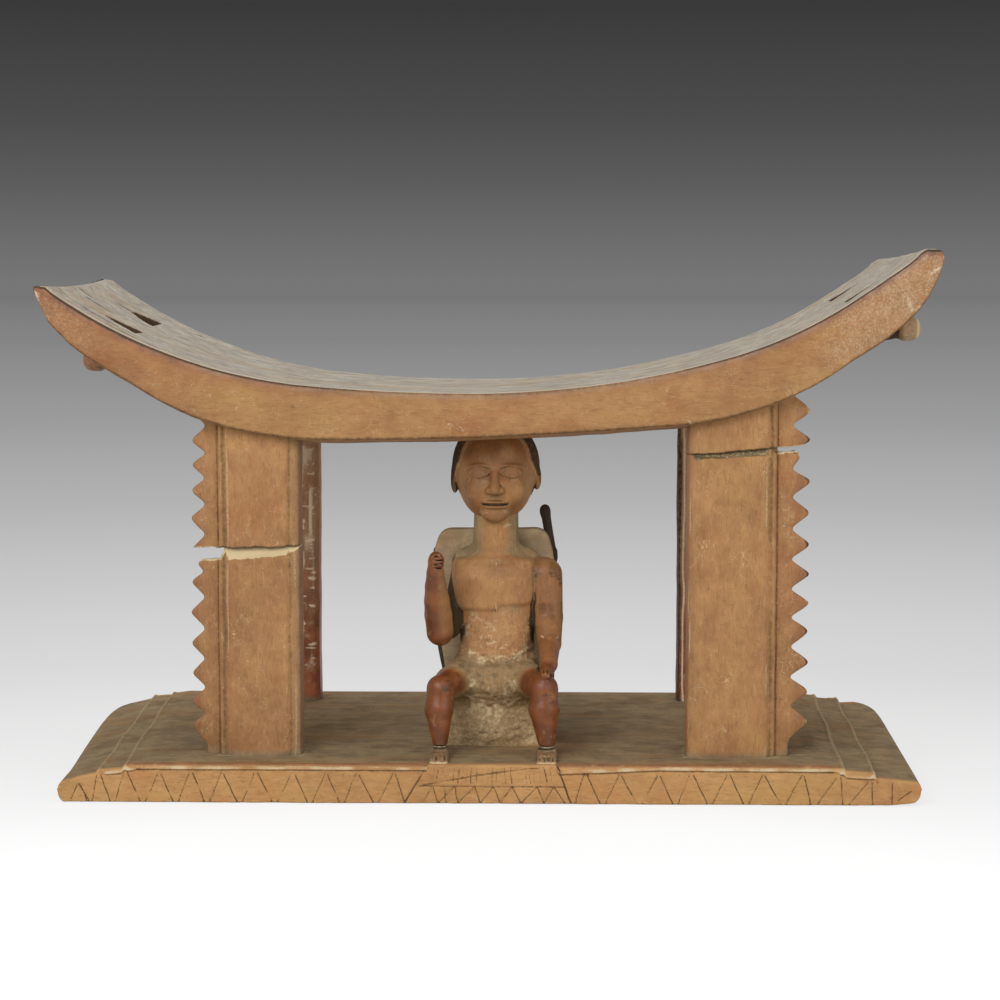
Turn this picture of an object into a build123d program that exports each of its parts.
from build123d import *
import math
import os

# Asante stool carved from one block: a curved seat on four toothed posts, with a seated figure in the middle
# of a long base board. The carved members are separate solids that meet face to face.
# Millimetres. +X runs to the right along the stool, +Y to the back, +Z up. The origin is the middle of the
# base board's underside. Left and right are those of someone who looks at the front.

# ---------------------------------------------------------------- base board
BASE_LENGTH = 553.0
BASE_DEPTH = 280.0
DECK_HEIGHT = 25.0
NOSE_HEIGHT = 12.0          # top of the blunt outer edge at each end
NOSE_WIDEST = 8.4           # height of the outermost line of that edge
NOSE_UNDERCUT = 5.0         # how far the underside stops short of the outer edge
OUTER_SLAB_RUN = 24.0       # from the end of the board to the foot of the lower step
OUTER_SLAB_TOP = 18.6
OUTER_SLAB_CROWN = 1.0      # the slab between edge and step is this much fuller than flat
LOWER_STEP_RISE = 1.6
STEP_TREAD = 15.5           # from the lower step to the upper step
UPPER_STEP_RISE = 1.4
TREAD_SLOPE_RISE = 1.9      # a tread climbs this much towards the middle
RIM_HEIGHT = 4.8            # plain rim above the carved band
RIM_SETBACK = 2.6           # the rim stands this far behind the face of the band
PANEL_LEFT = -37.0          # the centre panel of the band rises to the deck between these two
PANEL_RIGHT = 47.0

# ---------------------------------------------------------------- seat
SEAT_SETBACK = 19.0         # from the long edges of the base board to those of the seat
DIP_X = -8.0                # lowest place of the top
SEAT_HEIGHT = 261.7         # there
TOP_RIGHT_RADII = (599.0, 290.0)
TOP_RIGHT_REACHES = (160.0, 284.0)
TOP_LEFT_RADII = (1154.0, 340.0)
TOP_LEFT_REACHES = (108.0, 275.0)
RIGHT_TIP_OVERRUN = 14.0    # flat of the right tip beyond the last arc of the top, at the front
RIGHT_TIP_SKEW = 9.0        # the right end runs out this much further at the back
RIGHT_TIP_FACE = 9.0
LEFT_TIP_OVERRUN = 8.0
LEFT_TIP_FACE = 9.0
SEAT_EDGE = 28.4            # thickness of the front edge in the middle
UNDER_X = -102.0            # lowest place of the underside
UNDER_RIGHT_RADII = (2640.0, 239.0)
UNDER_RIGHT_REACHES = (218.0, 383.0)
UNDER_LEFT_RADII = (262.0,)
UNDER_LEFT_REACHES = (182.0,)
BELLY_DROP = 8.0            # the underside hangs this far below its front and back edges
BELLY_RUN = 62.0            # over this width from each edge
SKY = 150.0                 # cutting shapes end this far above the seat, clear of every tip

LEFT_HOLE_INSET = 33.0      # from the left end of the seat to the tips of its wedge-shaped holes
RIGHT_HOLE_INSET = 37.0
HOLE_LENGTH = 24.0
HOLE_WIDTH = 34.0
HOLE_SPACING = 104.0        # between the tips of the two holes of an end
HOLE_TIP_WIDTH = 5.0

LUG_RADIUS = 8.3
LUG_LENGTH = 46.0
LUG_TILT = 22.0
LUG_EDGE = 2.0
LEFT_LUG_IN = 1.5           # end of a lug, from the end of the underside towards the middle and down
LEFT_LUG_DOWN = 18.83
RIGHT_LUG_IN = -6.0
RIGHT_LUG_DOWN = 19.86

# ---------------------------------------------------------------- posts
FRONT_POST_SETBACK = 9.0    # behind the front edge of the seat
FRONT_POST_THICKNESS = 27.0
REAR_POST_SETBACK = 3.0     # in front of the back edge of the seat
REAR_POST_THICKNESS = 23.0
LEFT_POST_OUTER = -175.5
LEFT_POST_WIDTH = 53.5
LEFT_REAR_WIDTH = 46.0
RIGHT_POST_OUTER = 187.0
RIGHT_POST_WIDTH = 57.5
RIGHT_REAR_WIDTH = 53.0
POST_CORNER = 4.0

TEETH_SETBACK = 7.0         # from the outer face of a post to the toothed plate
TEETH_THICKNESS = 10.0
LEFT_STRIP = 8.0            # plain strip between the post and the valleys
LEFT_TOOTH = 9.5
LEFT_PITCH = 18.66
LEFT_FIRST_TIP = 18.6       # above the deck
RIGHT_STRIP = 7.5
RIGHT_TOOTH = 12.3
RIGHT_PITCH = 19.55
RIGHT_FIRST_TIP = 22.6
TOOTH_FLAT = 1.6            # blunt end of a tooth

# A split is the space between two lines across a front post, given by how far their ends at both sides lie
# below the seat's lower front edge
LEFT_SPLIT_OUTER = (81.4, 72.5)
LEFT_SPLIT_INNER = (75.2, 70.7)
RIGHT_SPLIT_OUTER = (7.9, 5.1)
RIGHT_SPLIT_INNER = (13.9, 11.3)

# ---------------------------------------------------------------- chair of the figure
# The chair and the figure have a frame of their own: x from their middle, y from the front edge of the base
# board to the back, z from the deck
FIGURE_X = 4.0
CHAIR_SHIFT = -1.5          # middle of the chair's back
BLOCK_WIDTH = 68.0
BLOCK_HEIGHT = 36.0
BLOCK_FRONT = 63.0
BLOCK_DEPTH = 57.0
CHAIR_BACK_DROP = 7.5       # the top of the chair's back, below the chin
CHAIR_BACK_BOTTOM = 67.0
CHAIR_BACK_WIDTH = 80.0
CHAIR_BACK_TOP_WIDTH = 66.0
CHAIR_BACK_SHOULDER = 17.0  # height of the sloping upper corners
CHAIR_BACK_FRONT = 96.0
CHAIR_BACK_THICKNESS = 13.0
STILE_WIDTH = 7.5
STILE_DEPTH = 9.0
STILE_DROP = 17.5           # the tops of the stiles, below that of the chair's back
STILE_SPREAD = 77.0         # between the centres of the two stiles
FINIAL_HEIGHT = 32.5
FINIAL_LEAN = 5.5           # the finial leans this far towards the middle

# ---------------------------------------------------------------- figure
NECK_ROOT = 7.0             # from the shoulders to the foot of the neck
NECK_LENGTH = 20.0          # from there to the chin
NECK_RADIUS = 15.0
NECK_Y = 82.0
HEAD_Y = 84.0
HEAD_RADIUS = 28.0
BROW_DROP = 33.3            # widest place of the head, below its hidden crown in the seat
HEAD_WIDEST = 33.0          # that place above the chin
CHEEK_RISE = 9.0            # above the chin
CHEEK_SHARE = 0.74          # radius of the head there, as a share of its widest radius
TEMPLE_SHARE = 0.95
CROWN_SHARE = 0.72
EAR_DROP = 5.0              # from the widest place of the head to the middle of the ears
EAR_Y = 87.0
LEFT_EAR_RADIUS = 10.0
RIGHT_EAR_RADIUS = 7.5
EAR_STAND = 2.6             # an ear stands this far out of the head

# The torso's sections: width, depth and shift to the right
TORSO_Y = 78.0
HIP_RISE = 2.0              # lowest section, above the block
WAIST_DROP = 50.0           # the waist and the chest, below the shoulders
CHEST_DROP = 18.0
HIP_SECTION = (60.0, 42.0, 2.0)
WAIST_SECTION = (50.0, 37.0, 2.0)
CHEST_SECTION = (56.0, 38.0, 1.0)
SHOULDER_SECTION = (58.0, 29.0, 1.0)
NECK_SECTION = (34.0, 22.0, 0.0)

# Limbs run from place to place. Those of the arms that move with the shoulders give x, y, the drop below the
# shoulders and the radius
LEFT_SHOULDER = (-24.0, 80.0, 10.0, 10.0)
LEFT_ELBOW = (-35.0, 58.0, 49.0, 8.0)
LEFT_FOREARM = (-35.0, 52.0, 48.0, 8.6)
LEFT_FOREARM_MIDDLE = (-38.0, 44.0, 26.0, 8.8)
LEFT_WRIST = (-38.5, 37.0, 5.0, 6.4)
LEFT_FINGERS = (-38.0, 35.0, -7.0, 5.2)
RIGHT_SHOULDER = (33.5, 78.0, 9.0, 12.0)
RIGHT_ELBOW = (35.5, 72.0, 40.0, 9.6)
# The other places give x, y, the height above the deck and the radius
RIGHT_WRIST = (37.0, 46.0, 65.0, 7.6)
RIGHT_FINGERS = (34.5, 28.0, 57.0, 5.8)
LEFT_HIP = (-16.0, 76.0, 51.0, 13.5)
LEFT_KNEE = (-35.5, 33.0, 42.5, 8.8)
LEFT_ANKLE = (-34.5, 28.0, 9.0, 5.3)
RIGHT_HIP = (16.0, 76.0, 51.0, 13.5)
RIGHT_KNEE = (33.0, 33.0, 42.5, 9.6)
RIGHT_ANKLE = (34.5, 28.0, 9.0, 5.6)
FOOT_WIDTH = 12.5
FOOT_LENGTH = 31.0
FOOT_HEIGHT = 9.5
TOE_SETBACK = 4.0           # from the front edge of the base board to the toes

# ---------------------------------------------------------------- derived places
BASE_HALF = BASE_LENGTH / 2
BACK_EDGE = BASE_DEPTH / 2
SEAT_HALF_DEPTH = BACK_EDGE - SEAT_SETBACK
UNDER_HEIGHT = SEAT_HEIGHT - SEAT_EDGE
BLANK_TOP = SEAT_HEIGHT + SKY
FRONT_POST_Y = FRONT_POST_SETBACK - SEAT_HALF_DEPTH
REAR_POST_Y = SEAT_HALF_DEPTH - REAR_POST_SETBACK
CROWN_HEIGHT = UNDER_HEIGHT + BELLY_DROP - DECK_HEIGHT
BROW_HEIGHT = CROWN_HEIGHT - BROW_DROP
CHIN_HEIGHT = BROW_HEIGHT - HEAD_WIDEST
SHOULDER_HEIGHT = CHIN_HEIGHT - NECK_LENGTH - NECK_ROOT
CHAIR_BACK_TOP = CHIN_HEIGHT - CHAIR_BACK_DROP
STILE_TOP = CHAIR_BACK_TOP - STILE_DROP
FIGURE_FRAME = Pos(FIGURE_X, -BACK_EDGE, DECK_HEIGHT)
LOW = (Align.CENTER, Align.CENTER, Align.MIN)


def tangent_chain(start, side, radii, reaches):
    """Arcs that leave start level and curve up towards side (+1 right, -1 left).

    Each arc has its radius and ends at its reach, measured level from start.
    """
    arcs = []
    place = Vector(*start)
    heading = Vector(side, 0)
    turned = 0.0
    covered = 0.0
    for radius, reach in zip(radii, reaches):
        sine = math.sin(math.radians(turned)) + (reach - covered) / radius
        size = math.degrees(math.asin(sine)) - turned
        arc = JernArc(place, heading, radius, side * size)
        arcs.append(arc)
        place = arc @ 1
        heading = arc % 1
        turned += size
        covered = reach
    return arcs, place


def front_plane_solid(face, front_y, back_y):
    """A face drawn in X and Z, as a solid between two depths."""
    return Pos(0, back_y, 0) * extrude(Plane.XZ * face, back_y - front_y)


def wedge(left_x, left_drops, right_x, right_drops):
    """The space between two lines across the stool, through its whole depth."""
    low_left, high_left = (UNDER_HEIGHT - drop for drop in left_drops)
    low_right, high_right = (UNDER_HEIGHT - drop for drop in right_drops)
    corners = [(left_x, low_left), (right_x, low_right), (right_x, high_right), (left_x, high_left)]
    return front_plane_solid(make_face(Polyline(*corners, close=True)), -BACK_EDGE, BACK_EDGE)


def largest(shape):
    """The main solid of a cut shape."""
    return max(shape.solids(), key=lambda solid: solid.volume)


def limb(first, second):
    """A tapered limb between two places, rounded at both. A place is x, y, z and radius."""
    *start, start_radius = first
    *end, end_radius = second
    run = Vector(*end) - Vector(*start)
    shaft = Plane(origin=start, z_dir=run) * Cone(start_radius, end_radius, run.length, align=LOW)
    return shaft + Pos(*start) * Sphere(start_radius) + Pos(*end) * Sphere(end_radius)


def from_shoulders(place):
    """A place on an arm, with its drop below the shoulders turned into a height."""
    x, y, drop, radius = place
    return x, y, SHOULDER_HEIGHT - drop, radius


def base_plinth():
    """Board with two low steps at each end and a rim set back above the carved band."""
    underside_end = BASE_HALF - NOSE_UNDERCUT
    lower_step = BASE_HALF - OUTER_SLAB_RUN
    upper_step = lower_step - STEP_TREAD
    deck_start = upper_step - STEP_TREAD
    lower_tread = OUTER_SLAB_TOP + LOWER_STEP_RISE
    upper_tread = lower_tread + TREAD_SLOPE_RISE
    nose_bulge = (BASE_HALF - NOSE_UNDERCUT / 4, NOSE_HEIGHT / 3)
    slab_bulge = (BASE_HALF - OUTER_SLAB_RUN / 2, (NOSE_HEIGHT + OUTER_SLAB_TOP) / 2 + OUTER_SLAB_CROWN)
    right = [
        Line((0, 0), (underside_end, 0)),
        ThreePointArc((underside_end, 0), nose_bulge, (BASE_HALF, NOSE_WIDEST)),
        ThreePointArc((BASE_HALF, NOSE_WIDEST), slab_bulge, (lower_step, OUTER_SLAB_TOP)),
        Line((lower_step, OUTER_SLAB_TOP), (lower_step, lower_tread)),
        Line((lower_step, lower_tread), (upper_step, upper_tread)),
        Line((upper_step, upper_tread), (upper_step, upper_tread + UPPER_STEP_RISE)),
        Line((upper_step, upper_tread + UPPER_STEP_RISE), (deck_start, DECK_HEIGHT)),
        Line((deck_start, DECK_HEIGHT), (0, DECK_HEIGHT)),
    ]
    left = [edge.mirror(Plane.YZ) for edge in right]
    board = front_plane_solid(make_face(right + left), -BACK_EDGE, BACK_EDGE)
    for start, end in ((-upper_step, PANEL_LEFT), (PANEL_RIGHT, upper_step)):
        rim_cut = Pos((start + end) / 2, 0, DECK_HEIGHT) * Box(end - start, RIM_SETBACK * 2, RIM_HEIGHT * 2)
        board -= Pos(0, -BACK_EDGE, 0) * rim_cut
        board -= Pos(0, BACK_EDGE, 0) * rim_cut
    return board


def seat_top_arcs():
    """The arcs of the seat's top to the right and left, each with the place where they end."""
    dip = (DIP_X, SEAT_HEIGHT)
    return tangent_chain(dip, 1, TOP_RIGHT_RADII, TOP_RIGHT_REACHES), \
        tangent_chain(dip, -1, TOP_LEFT_RADII, TOP_LEFT_REACHES)


def seat_under_arcs():
    """The arcs of the seat's underside to the right and left, each with the place where they end."""
    lowest = (UNDER_X, UNDER_HEIGHT - BELLY_DROP)
    return tangent_chain(lowest, 1, UNDER_RIGHT_RADII, UNDER_RIGHT_REACHES), \
        tangent_chain(lowest, -1, UNDER_LEFT_RADII, UNDER_LEFT_REACHES)


def seat_blank():
    """Everything above the underside of the seat, within the seat's depth and between its tips."""
    (right_arcs, right_end), (left_arcs, left_end) = seat_under_arcs()
    (_, top_right), (_, top_left) = seat_top_arcs()
    right_tip = (top_right.X + RIGHT_TIP_OVERRUN + RIGHT_TIP_SKEW, top_right.Y - RIGHT_TIP_FACE)
    left_tip = (top_left.X - LEFT_TIP_OVERRUN, top_left.Y - LEFT_TIP_FACE)
    outline = [
        Line(right_end, right_tip),
        Line(right_tip, (right_tip[0], BLANK_TOP)),
        Line((right_tip[0], BLANK_TOP), (left_tip[0], BLANK_TOP)),
        Line((left_tip[0], BLANK_TOP), left_tip),
        Line(left_tip, left_end),
    ]
    blank = front_plane_solid(make_face(right_arcs + left_arcs + outline), -SEAT_HALF_DEPTH, SEAT_HALF_DEPTH)
    for row in (0, -1):
        upright_face = blank.faces().sort_by(Axis.Y)[row]
        lower_rim = upright_face.edges().filter_by(Axis.Z, reverse=True).sort_by(Axis.Z)[:-1]
        blank = chamfer(lower_rim, BELLY_DROP, BELLY_RUN, reference=upright_face)
    end_corners = [
        (right_tip[0], SEAT_HALF_DEPTH), (right_tip[0] - RIGHT_TIP_SKEW, -SEAT_HALF_DEPTH),
        (right_tip[0] + RIGHT_TIP_SKEW, -SEAT_HALF_DEPTH),
    ]
    return blank - extrude(make_face(Polyline(*end_corners, close=True)), BLANK_TOP)


def hole_cutter(tip, side, depth_place):
    """A wedge-shaped upright hole that points to the end of the seat."""
    mouth = tip - side * HOLE_LENGTH
    corners = [
        (tip, depth_place - HOLE_TIP_WIDTH / 2),
        (mouth, depth_place - HOLE_WIDTH / 2),
        (mouth, depth_place + HOLE_WIDTH / 2),
        (tip, depth_place + HOLE_TIP_WIDTH / 2),
    ]
    return extrude(make_face(Polyline(*corners, close=True)), BLANK_TOP)


def seat(blank):
    """The curved seat board with its four holes."""
    (right_arcs, right_end), (left_arcs, left_end) = seat_top_arcs()
    right_front = right_end.X + RIGHT_TIP_OVERRUN
    right_tip = (right_front + RIGHT_TIP_SKEW, right_end.Y)
    left_tip = (left_end.X - LEFT_TIP_OVERRUN, left_end.Y)
    above_blank = BLANK_TOP + 1
    outline = [
        Line(right_end, right_tip),
        Line(right_tip, (right_tip[0], above_blank)),
        Line((right_tip[0], above_blank), (left_tip[0], above_blank)),
        Line((left_tip[0], above_blank), left_tip),
        Line(left_tip, left_end),
    ]
    above = front_plane_solid(make_face(right_arcs + left_arcs + outline), -BACK_EDGE, BACK_EDGE)
    board = blank - above
    for tip, side in ((left_tip[0] + LEFT_HOLE_INSET, -1), (right_front - RIGHT_HOLE_INSET, 1)):
        for row in (-1, 1):
            board -= hole_cutter(tip, side, row * HOLE_SPACING / 2)
    return board


def lug(under_end, side, inward, down):
    """A round lug that lies along the underside and ends beside the tip."""
    end = (under_end.X - side * inward, 0, under_end.Y - down)
    direction = (side * math.cos(math.radians(LUG_TILT)), 0, math.sin(math.radians(LUG_TILT)))
    shaft = Plane(origin=end, z_dir=[-part for part in direction])
    round_bar = Cylinder(LUG_RADIUS, LUG_LENGTH, align=LOW)
    round_bar = chamfer(round_bar.edges().filter_by(GeomType.CIRCLE).sort_by(Axis.Z)[0], LUG_EDGE)
    return shaft * round_bar


def post(outer_x, side, width, front_y, thickness):
    """An upright plate with eased corners, taller than the space that it fills."""
    block = Box(width, thickness, BLANK_TOP - DECK_HEIGHT, align=LOW)
    block = fillet(block.edges().filter_by(Axis.Z), POST_CORNER)
    return Pos(outer_x - side * width / 2, front_y + thickness / 2, DECK_HEIGHT) * block


def teeth(post_outer, side, strip, tooth, pitch, first_tip, front_y):
    """A toothed plate that stands out from the outer face of a post."""
    valley = post_outer + side * strip
    tip = valley + side * tooth
    points = [(post_outer, DECK_HEIGHT), (valley, DECK_HEIGHT)]
    height = DECK_HEIGHT + first_tip
    while height < BLANK_TOP - pitch:
        points.append((tip, height - TOOTH_FLAT / 2))
        points.append((tip, height + TOOTH_FLAT / 2))
        points.append((valley, height + pitch / 2))
        height += pitch
    points.append((post_outer, height - pitch / 2))
    outline = make_face(Polyline(*points, close=True))
    return front_plane_solid(outline, front_y, front_y + TEETH_THICKNESS)


def split_by(shape, split):
    """The solids under and over a split."""
    pieces = (shape - split).solids().sort_by(Axis.Z)
    return pieces[0], pieces[-1]


def posts(blank):
    """The four posts and their toothed plates, by node name."""
    front_teeth_y = FRONT_POST_Y + TEETH_SETBACK
    rear_teeth_y = REAR_POST_Y - TEETH_SETBACK - TEETH_THICKNESS
    rear_y = REAR_POST_Y - REAR_POST_THICKNESS
    left_teeth = (LEFT_STRIP, LEFT_TOOTH, LEFT_PITCH, LEFT_FIRST_TIP)
    right_teeth = (RIGHT_STRIP, RIGHT_TOOTH, RIGHT_PITCH, RIGHT_FIRST_TIP)
    left_split = wedge(LEFT_POST_OUTER - LEFT_STRIP - LEFT_TOOTH, LEFT_SPLIT_OUTER,
                       LEFT_POST_OUTER + LEFT_POST_WIDTH, LEFT_SPLIT_INNER)
    right_split = wedge(RIGHT_POST_OUTER - RIGHT_POST_WIDTH, RIGHT_SPLIT_INNER,
                        RIGHT_POST_OUTER + RIGHT_STRIP + RIGHT_TOOTH, RIGHT_SPLIT_OUTER)
    nodes = {}
    for name, side, outer, widths, plate, split in (
            ("left", -1, LEFT_POST_OUTER, (LEFT_POST_WIDTH, LEFT_REAR_WIDTH), left_teeth, left_split),
            ("right", 1, RIGHT_POST_OUTER, (RIGHT_POST_WIDTH, RIGHT_REAR_WIDTH), right_teeth, right_split)):
        front = post(outer, side, widths[0], FRONT_POST_Y, FRONT_POST_THICKNESS) - blank
        nodes[f"post_front_{name}_lower"], nodes[f"post_front_{name}_upper"] = split_by(front, split)
        front = teeth(outer, side, *plate, front_teeth_y) - blank
        nodes[f"teeth_front_{name}_lower"], nodes[f"teeth_front_{name}_upper"] = split_by(front, split)
        rear = post(outer, side, widths[1], rear_y, REAR_POST_THICKNESS) - blank
        nodes[f"post_rear_{name}"] = largest(rear)
        nodes[f"teeth_rear_{name}"] = largest(teeth(outer, side, *plate, rear_teeth_y) - blank)
    return nodes


def chair_block():
    """The block that the figure sits on."""
    block = Box(BLOCK_WIDTH, BLOCK_DEPTH, BLOCK_HEIGHT, align=LOW)
    return Pos(0, BLOCK_FRONT + BLOCK_DEPTH / 2, 0) * block


def chair_back():
    """The board behind the figure, with sloping upper corners."""
    half_width = CHAIR_BACK_WIDTH / 2
    half_top = CHAIR_BACK_TOP_WIDTH / 2
    shoulder = CHAIR_BACK_TOP - CHAIR_BACK_SHOULDER
    corners = [
        (CHAIR_SHIFT - half_width, CHAIR_BACK_BOTTOM), (CHAIR_SHIFT + half_width, CHAIR_BACK_BOTTOM),
        (CHAIR_SHIFT + half_width, shoulder), (CHAIR_SHIFT + half_top, CHAIR_BACK_TOP),
        (CHAIR_SHIFT - half_top, CHAIR_BACK_TOP), (CHAIR_SHIFT - half_width, shoulder),
    ]
    outline = make_face(Polyline(*corners, close=True))
    return front_plane_solid(outline, CHAIR_BACK_FRONT, CHAIR_BACK_FRONT + CHAIR_BACK_THICKNESS)


def chair_stile(side):
    """An upright behind the chair's back, from the deck."""
    stile = Box(STILE_WIDTH, STILE_DEPTH, STILE_TOP, align=LOW)
    return Pos(side * STILE_SPREAD / 2, CHAIR_BACK_FRONT + CHAIR_BACK_THICKNESS + STILE_DEPTH / 2, 0) * stile


def chair_finial():
    """The leaning finial on the right stile."""
    right = (STILE_SPREAD + STILE_WIDTH) / 2
    left = right - STILE_WIDTH
    top = STILE_TOP + FINIAL_HEIGHT
    corners = [(left, STILE_TOP), (right, STILE_TOP), (right - FINIAL_LEAN, top), (left - FINIAL_LEAN, top)]
    front = CHAIR_BACK_FRONT + CHAIR_BACK_THICKNESS
    return front_plane_solid(make_face(Polyline(*corners, close=True)), front, front + STILE_DEPTH)


def head():
    """An egg-shaped head, narrow at the chin, that runs up into the seat."""
    cheek = (HEAD_RADIUS * CHEEK_SHARE, CHIN_HEIGHT + CHEEK_RISE)
    temple = (HEAD_RADIUS * TEMPLE_SHARE, (CROWN_HEIGHT + BROW_HEIGHT) / 2)
    crown_rim = (HEAD_RADIUS * CROWN_SHARE, CROWN_HEIGHT)
    half_profile = [
        Line((0, CROWN_HEIGHT), (0, CHIN_HEIGHT)),
        ThreePointArc((0, CHIN_HEIGHT), cheek, (HEAD_RADIUS, BROW_HEIGHT)),
        ThreePointArc((HEAD_RADIUS, BROW_HEIGHT), temple, crown_rim),
        Line(crown_rim, (0, CROWN_HEIGHT)),
    ]
    return Pos(0, HEAD_Y, 0) * revolve(Plane.XZ * make_face(half_profile), Axis.Z)


def neck():
    """A round neck from inside the torso to inside the head."""
    foot_height = SHOULDER_HEIGHT - NECK_RADIUS
    return Pos(0, NECK_Y, foot_height) * Cylinder(NECK_RADIUS, BROW_HEIGHT - foot_height, align=LOW)


def ear(side, radius):
    """A round ear flat against the side of the head."""
    length = HEAD_RADIUS + EAR_STAND
    disc = Cylinder(radius, length, rotation=(0, 90, 0))
    return Pos(side * length / 2, EAR_Y, BROW_HEIGHT - EAR_DROP) * disc


def torso():
    """The trunk from the chair up to the foot of the neck."""
    sections = []
    for height, (width, depth, shift) in (
            (BLOCK_HEIGHT + HIP_RISE, HIP_SECTION),
            (SHOULDER_HEIGHT - WAIST_DROP, WAIST_SECTION),
            (SHOULDER_HEIGHT - CHEST_DROP, CHEST_SECTION),
            (SHOULDER_HEIGHT, SHOULDER_SECTION),
            (SHOULDER_HEIGHT + NECK_ROOT, NECK_SECTION)):
        sections.append(Pos(shift, TORSO_Y, height) * Ellipse(width / 2, depth / 2))
    return loft(sections)


def foot(ankle):
    """A small foot on the deck, from behind the ankle to the toes."""
    block = Box(FOOT_WIDTH, FOOT_LENGTH, FOOT_HEIGHT, align=LOW)
    block = fillet(block.edges().filter_by(Axis.Z), FOOT_WIDTH / 3)
    return Pos(ankle[0], TOE_SETBACK + FOOT_LENGTH / 2, 0) * block


def build():
    """Every node of the stool, each cut to meet its neighbours face to face."""
    blank = seat_blank()
    nodes = {"base_plinth": base_plinth(), "seat": seat(blank)}
    (_, under_right), (_, under_left) = seat_under_arcs()
    left_lug = lug(under_left, -1, LEFT_LUG_IN, LEFT_LUG_DOWN)
    right_lug = lug(under_right, 1, RIGHT_LUG_IN, RIGHT_LUG_DOWN)
    nodes["seat_lug_left"] = largest(left_lug - nodes["seat"])
    nodes["seat_lug_right"] = largest(right_lug - nodes["seat"])
    nodes.update(posts(blank))

    def add(name, shape, *neighbours):
        """Put a shape of the figure in its place and keep what the neighbours leave of it."""
        placed = FIGURE_FRAME * shape
        for neighbour in neighbours:
            placed -= nodes[neighbour]
        nodes[name] = largest(placed)

    add("chair_block", chair_block())
    add("chair_stile_left", chair_stile(-1))
    add("chair_stile_right", chair_stile(1))
    add("chair_finial", chair_finial())
    add("figure_torso", torso(), "chair_block")
    nodes["figure_head"] = largest(FIGURE_FRAME * head() - blank)
    add("figure_neck", neck(), "figure_head", "figure_torso")
    add("figure_ear_left", ear(-1, LEFT_EAR_RADIUS), "figure_head", "figure_neck")
    add("figure_ear_right", ear(1, RIGHT_EAR_RADIUS), "figure_head", "figure_neck")
    add("chair_back", chair_back(), "figure_torso", "figure_neck")

    beside_arm = ("figure_torso", "chair_back", "figure_neck")
    middle = from_shoulders(LEFT_FOREARM_MIDDLE)
    wrist = from_shoulders(LEFT_WRIST)
    forearm = limb(from_shoulders(LEFT_FOREARM), middle) + limb(middle, wrist)
    add("arm_left_upper", limb(from_shoulders(LEFT_SHOULDER), from_shoulders(LEFT_ELBOW)), *beside_arm)
    add("arm_left_fore", forearm, "arm_left_upper", "figure_torso")
    add("hand_left", limb(wrist, from_shoulders(LEFT_FINGERS)), "arm_left_fore")

    elbow = from_shoulders(RIGHT_ELBOW)
    add("arm_right_upper", limb(from_shoulders(RIGHT_SHOULDER), elbow), *beside_arm)
    add("arm_right_fore", limb(elbow, RIGHT_WRIST), "arm_right_upper", "figure_torso")

    arms = ("arm_left_upper", "arm_left_fore", "arm_right_upper", "arm_right_fore")
    beside_thigh = ("figure_torso", "chair_block", *arms)
    add("thigh_left", limb(LEFT_HIP, LEFT_KNEE), *beside_thigh)
    add("thigh_right", limb(RIGHT_HIP, RIGHT_KNEE), *beside_thigh, "thigh_left")
    for name, knee, ankle in (("left", LEFT_KNEE, LEFT_ANKLE), ("right", RIGHT_KNEE, RIGHT_ANKLE)):
        add(f"foot_{name}", foot(ankle))
        add(f"shin_{name}", limb(knee, ankle), f"thigh_{name}", "chair_block", f"foot_{name}")
    add("hand_right", limb(RIGHT_WRIST, RIGHT_FINGERS), "arm_right_fore", "thigh_right", "shin_right")
    return nodes


os.makedirs("parts", exist_ok=True)
for node_name, solid in build().items():
    export_step(solid, f"parts/{node_name}.step")
